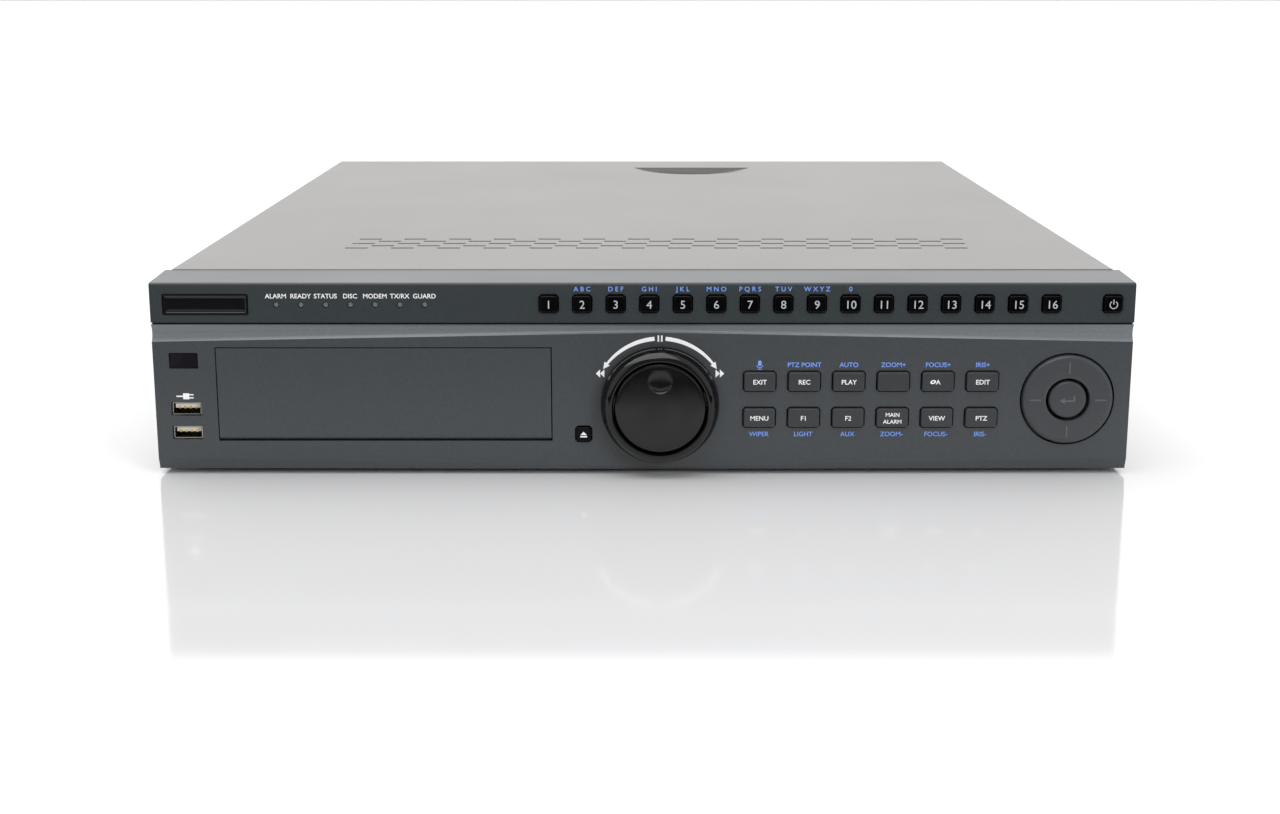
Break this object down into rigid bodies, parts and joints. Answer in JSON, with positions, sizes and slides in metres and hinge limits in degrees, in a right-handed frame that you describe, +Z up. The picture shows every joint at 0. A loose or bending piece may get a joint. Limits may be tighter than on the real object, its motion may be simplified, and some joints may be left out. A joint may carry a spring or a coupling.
{
  "type": "video recorder",
  "caption": "Two-unit-high digital video recorder with channel keys, function keys, jog and shuttle dials, a direction pad, a drop-down disc flap and coaxial video inputs.",
  "frame": {"origin": "on the floor under the middle of the object's bounding box", "axes": "+Z up; the front faces -Y; +X to the right of a person who looks at the front"},
  "size_m": [0.445, 0.4916, 0.091],
  "materials": {
    "case_paint": "satin light grey",
    "fascia_plastic": "satin charcoal",
    "badge_plastic": "gloss black",
    "window_plastic": "gloss near-black filter",
    "clear_plastic": "milky",
    "gloss_key": "gloss black",
    "satin_key": "satin dark grey",
    "dial_plastic": "gloss black",
    "connector_steel": "nickel plated",
    "circuit_board": "green solder mask",
    "drive_housing": "light grey",
    "drive_casting": "cast",
    "supply_steel": "zinc plated",
    "black_plastic": "matt",
    "rubber": "matt"
  },
  "bodies": {
    "case": {"chassis": "case_paint", "top_cover": "case_paint", "upper_bezel": "fascia_plastic", "lower_bezel": "fascia_plastic", "badge_plate": "badge_plastic", "infrared_window": "window_plastic", "indicator_light_guide": "clear_plastic", "usb_port_pair": "connector_steel", "front_board": "circuit_board", "jog_encoder": "connector_steel", "disc_drive": "drive_housing", "hard_drive_1": "drive_casting", "hard_drive_2": "drive_casting", "power_supply": "supply_steel", "fan_frame": "black_plastic", "main_board": "circuit_board", "video_input_board": "circuit_board", "mains_inlet": "black_plastic", "front_left_foot": "rubber", "front_right_foot": "rubber", "rear_left_foot": "rubber", "rear_right_foot": "rubber"},
    "channel_key_01": {"channel_key_01": "gloss_key"},
    "channel_key_02": {"channel_key_02": "gloss_key"},
    "channel_key_03": {"channel_key_03": "gloss_key"},
    "channel_key_04": {"channel_key_04": "gloss_key"},
    "channel_key_05": {"channel_key_05": "gloss_key"},
    "channel_key_06": {"channel_key_06": "gloss_key"},
    "channel_key_07": {"channel_key_07": "gloss_key"},
    "channel_key_08": {"channel_key_08": "gloss_key"},
    "channel_key_09": {"channel_key_09": "gloss_key"},
    "channel_key_10": {"channel_key_10": "gloss_key"},
    "channel_key_11": {"channel_key_11": "gloss_key"},
    "channel_key_12": {"channel_key_12": "gloss_key"},
    "channel_key_13": {"channel_key_13": "gloss_key"},
    "channel_key_14": {"channel_key_14": "gloss_key"},
    "channel_key_15": {"channel_key_15": "gloss_key"},
    "channel_key_16": {"channel_key_16": "gloss_key"},
    "power_key": {"power_key": "gloss_key"},
    "function_key_upper_1": {"function_key_upper_1": "satin_key"},
    "function_key_upper_2": {"function_key_upper_2": "satin_key"},
    "function_key_upper_3": {"function_key_upper_3": "satin_key"},
    "function_key_upper_4": {"function_key_upper_4": "satin_key"},
    "function_key_upper_5": {"function_key_upper_5": "satin_key"},
    "function_key_upper_6": {"function_key_upper_6": "satin_key"},
    "function_key_lower_1": {"function_key_lower_1": "satin_key"},
    "function_key_lower_2": {"function_key_lower_2": "satin_key"},
    "function_key_lower_3": {"function_key_lower_3": "satin_key"},
    "function_key_lower_4": {"function_key_lower_4": "satin_key"},
    "function_key_lower_5": {"function_key_lower_5": "satin_key"},
    "function_key_lower_6": {"function_key_lower_6": "satin_key"},
    "eject_key": {"eject_key": "gloss_key"},
    "direction_pivot": {"direction_pivot": "black_plastic"},
    "direction_ring": {"direction_ring": "dial_plastic"},
    "enter_key": {"enter_key": "dial_plastic"},
    "shuttle_ring": {"shuttle_ring": "dial_plastic"},
    "jog_dial": {"jog_dial": "dial_plastic"},
    "drive_flap": {"drive_flap": "fascia_plastic"},
    "fan_rotor": {"fan_rotor": "black_plastic"},
    "mains_switch": {"mains_switch": "black_plastic"}
  },
  "joints": [
    {"name": "flap_open", "type": "hinge", "parent": "case", "child": "drive_flap", "pos_m": [-0.11775, -0.234, 0.0186], "axis": [1, 0, 0], "range_deg": [0, 90], "stiffness_Nm_per_rad": 0.004, "springref_deg": -28.65},
    {"name": "shuttle_turn", "type": "hinge", "parent": "case", "child": "shuttle_ring", "pos_m": [0.008, -0.2362, 0.0335], "axis": [0, -1, 0], "range_deg": [-60, 60], "stiffness_Nm_per_rad": 0.02},
    {"name": "jog_spin", "type": "hinge", "parent": "case", "child": "jog_dial", "pos_m": [0.008, -0.2362, 0.0335], "axis": [0, -1, 0], "continuous": true},
    {"name": "direction_tilt_up_down", "type": "hinge", "parent": "case", "child": "direction_pivot", "pos_m": [0.1939, -0.2284, 0.0358], "axis": [1, 0, 0], "range_deg": [-2, 2], "stiffness_Nm_per_rad": 0.3},
    {"name": "direction_tilt_left_right", "type": "hinge", "parent": "direction_pivot", "child": "direction_ring", "pos_m": [0.1939, -0.2284, 0.0358], "axis": [0, 0, 1], "range_deg": [-2, 2], "stiffness_Nm_per_rad": 0.3},
    {"name": "mains_switch_rock", "type": "hinge", "parent": "case", "child": "mains_switch", "pos_m": [0.144, 0.2308, 0.03], "axis": [-1, 0, 0], "range_deg": [0, 16]},
    {"name": "fan_spin", "type": "hinge", "parent": "case", "child": "fan_rotor", "pos_m": [0.088, 0.2198, 0.048], "axis": [0, 1, 0], "continuous": true},
    {"name": "enter_key_press", "type": "slide", "parent": "case", "child": "enter_key", "axis": [0, 1, 0], "range_m": [0, 0.001], "stiffness_N_per_m": 400, "springref_m": -0.001},
    {"name": "eject_key_press", "type": "slide", "parent": "case", "child": "eject_key", "axis": [0, 1, 0], "range_m": [0, 0.001], "stiffness_N_per_m": 400, "springref_m": -0.001},
    {"name": "power_key_press", "type": "slide", "parent": "case", "child": "power_key", "axis": [0, 1, 0], "range_m": [0, 0.001], "stiffness_N_per_m": 400, "springref_m": -0.001},
    {"name": "function_key_upper_1_press", "type": "slide", "parent": "case", "child": "function_key_upper_1", "axis": [0, 1, 0], "range_m": [0, 0.001], "stiffness_N_per_m": 400, "springref_m": -0.001},
    {"name": "function_key_upper_2_press", "type": "slide", "parent": "case", "child": "function_key_upper_2", "axis": [0, 1, 0], "range_m": [0, 0.001], "stiffness_N_per_m": 400, "springref_m": -0.001},
    {"name": "function_key_upper_3_press", "type": "slide", "parent": "case", "child": "function_key_upper_3", "axis": [0, 1, 0], "range_m": [0, 0.001], "stiffness_N_per_m": 400, "springref_m": -0.001},
    {"name": "function_key_upper_4_press", "type": "slide", "parent": "case", "child": "function_key_upper_4", "axis": [0, 1, 0], "range_m": [0, 0.001], "stiffness_N_per_m": 400, "springref_m": -0.001},
    {"name": "function_key_upper_5_press", "type": "slide", "parent": "case", "child": "function_key_upper_5", "axis": [0, 1, 0], "range_m": [0, 0.001], "stiffness_N_per_m": 400, "springref_m": -0.001},
    {"name": "function_key_upper_6_press", "type": "slide", "parent": "case", "child": "function_key_upper_6", "axis": [0, 1, 0], "range_m": [0, 0.001], "stiffness_N_per_m": 400, "springref_m": -0.001},
    {"name": "function_key_lower_1_press", "type": "slide", "parent": "case", "child": "function_key_lower_1", "axis": [0, 1, 0], "range_m": [0, 0.001], "stiffness_N_per_m": 400, "springref_m": -0.001},
    {"name": "function_key_lower_2_press", "type": "slide", "parent": "case", "child": "function_key_lower_2", "axis": [0, 1, 0], "range_m": [0, 0.001], "stiffness_N_per_m": 400, "springref_m": -0.001},
    {"name": "function_key_lower_3_press", "type": "slide", "parent": "case", "child": "function_key_lower_3", "axis": [0, 1, 0], "range_m": [0, 0.001], "stiffness_N_per_m": 400, "springref_m": -0.001},
    {"name": "function_key_lower_4_press", "type": "slide", "parent": "case", "child": "function_key_lower_4", "axis": [0, 1, 0], "range_m": [0, 0.001], "stiffness_N_per_m": 400, "springref_m": -0.001},
    {"name": "function_key_lower_5_press", "type": "slide", "parent": "case", "child": "function_key_lower_5", "axis": [0, 1, 0], "range_m": [0, 0.001], "stiffness_N_per_m": 400, "springref_m": -0.001},
    {"name": "function_key_lower_6_press", "type": "slide", "parent": "case", "child": "function_key_lower_6", "axis": [0, 1, 0], "range_m": [0, 0.001], "stiffness_N_per_m": 400, "springref_m": -0.001},
    {"name": "channel_key_01_press", "type": "slide", "parent": "case", "child": "channel_key_01", "axis": [0, 1, 0], "range_m": [0, 0.001], "stiffness_N_per_m": 400, "springref_m": -0.001},
    {"name": "channel_key_02_press", "type": "slide", "parent": "case", "child": "channel_key_02", "axis": [0, 1, 0], "range_m": [0, 0.001], "stiffness_N_per_m": 400, "springref_m": -0.001},
    {"name": "channel_key_03_press", "type": "slide", "parent": "case", "child": "channel_key_03", "axis": [0, 1, 0], "range_m": [0, 0.001], "stiffness_N_per_m": 400, "springref_m": -0.001},
    {"name": "channel_key_04_press", "type": "slide", "parent": "case", "child": "channel_key_04", "axis": [0, 1, 0], "range_m": [0, 0.001], "stiffness_N_per_m": 400, "springref_m": -0.001},
    {"name": "channel_key_05_press", "type": "slide", "parent": "case", "child": "channel_key_05", "axis": [0, 1, 0], "range_m": [0, 0.001], "stiffness_N_per_m": 400, "springref_m": -0.001},
    {"name": "channel_key_06_press", "type": "slide", "parent": "case", "child": "channel_key_06", "axis": [0, 1, 0], "range_m": [0, 0.001], "stiffness_N_per_m": 400, "springref_m": -0.001},
    {"name": "channel_key_07_press", "type": "slide", "parent": "case", "child": "channel_key_07", "axis": [0, 1, 0], "range_m": [0, 0.001], "stiffness_N_per_m": 400, "springref_m": -0.001},
    {"name": "channel_key_08_press", "type": "slide", "parent": "case", "child": "channel_key_08", "axis": [0, 1, 0], "range_m": [0, 0.001], "stiffness_N_per_m": 400, "springref_m": -0.001},
    {"name": "channel_key_09_press", "type": "slide", "parent": "case", "child": "channel_key_09", "axis": [0, 1, 0], "range_m": [0, 0.001], "stiffness_N_per_m": 400, "springref_m": -0.001},
    {"name": "channel_key_10_press", "type": "slide", "parent": "case", "child": "channel_key_10", "axis": [0, 1, 0], "range_m": [0, 0.001], "stiffness_N_per_m": 400, "springref_m": -0.001},
    {"name": "channel_key_11_press", "type": "slide", "parent": "case", "child": "channel_key_11", "axis": [0, 1, 0], "range_m": [0, 0.001], "stiffness_N_per_m": 400, "springref_m": -0.001},
    {"name": "channel_key_12_press", "type": "slide", "parent": "case", "child": "channel_key_12", "axis": [0, 1, 0], "range_m": [0, 0.001], "stiffness_N_per_m": 400, "springref_m": -0.001},
    {"name": "channel_key_13_press", "type": "slide", "parent": "case", "child": "channel_key_13", "axis": [0, 1, 0], "range_m": [0, 0.001], "stiffness_N_per_m": 400, "springref_m": -0.001},
    {"name": "channel_key_14_press", "type": "slide", "parent": "case", "child": "channel_key_14", "axis": [0, 1, 0], "range_m": [0, 0.001], "stiffness_N_per_m": 400, "springref_m": -0.001},
    {"name": "channel_key_15_press", "type": "slide", "parent": "case", "child": "channel_key_15", "axis": [0, 1, 0], "range_m": [0, 0.001], "stiffness_N_per_m": 400, "springref_m": -0.001},
    {"name": "channel_key_16_press", "type": "slide", "parent": "case", "child": "channel_key_16", "axis": [0, 1, 0], "range_m": [0, 0.001], "stiffness_N_per_m": 400, "springref_m": -0.001}
  ]
}
